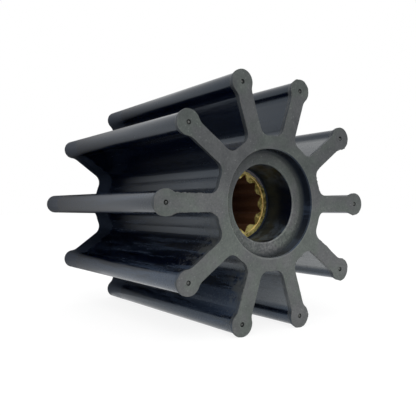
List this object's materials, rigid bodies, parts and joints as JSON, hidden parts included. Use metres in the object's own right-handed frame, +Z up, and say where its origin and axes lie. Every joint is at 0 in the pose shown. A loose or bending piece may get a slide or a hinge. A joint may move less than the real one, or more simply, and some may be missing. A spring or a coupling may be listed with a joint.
{
  "type": "flexible pump impeller",
  "caption": "Flexible rubber pump impeller: straight radial vanes with round tip beads on a long hub, moulded round a brass bush with an internal spline.",
  "frame": {"origin": "on the axis at mid length", "axes": "-Y points out of the recessed and lipped front face, +Y out of the back face; one vane lies along +X; +Z is up as the impeller lies on two vanes"},
  "size_m": [0.0956, 0.1016, 0.0914],
  "materials": {
    "rubber": "moulded black nitrile rubber: matt ground face, semi-gloss vanes",
    "brass": "broached brass, dulled, dark inside the spline"
  },
  "bodies": {
    "root": {"impeller_body": "rubber", "splined_bush": "brass"}
  },
  "joints": []
}
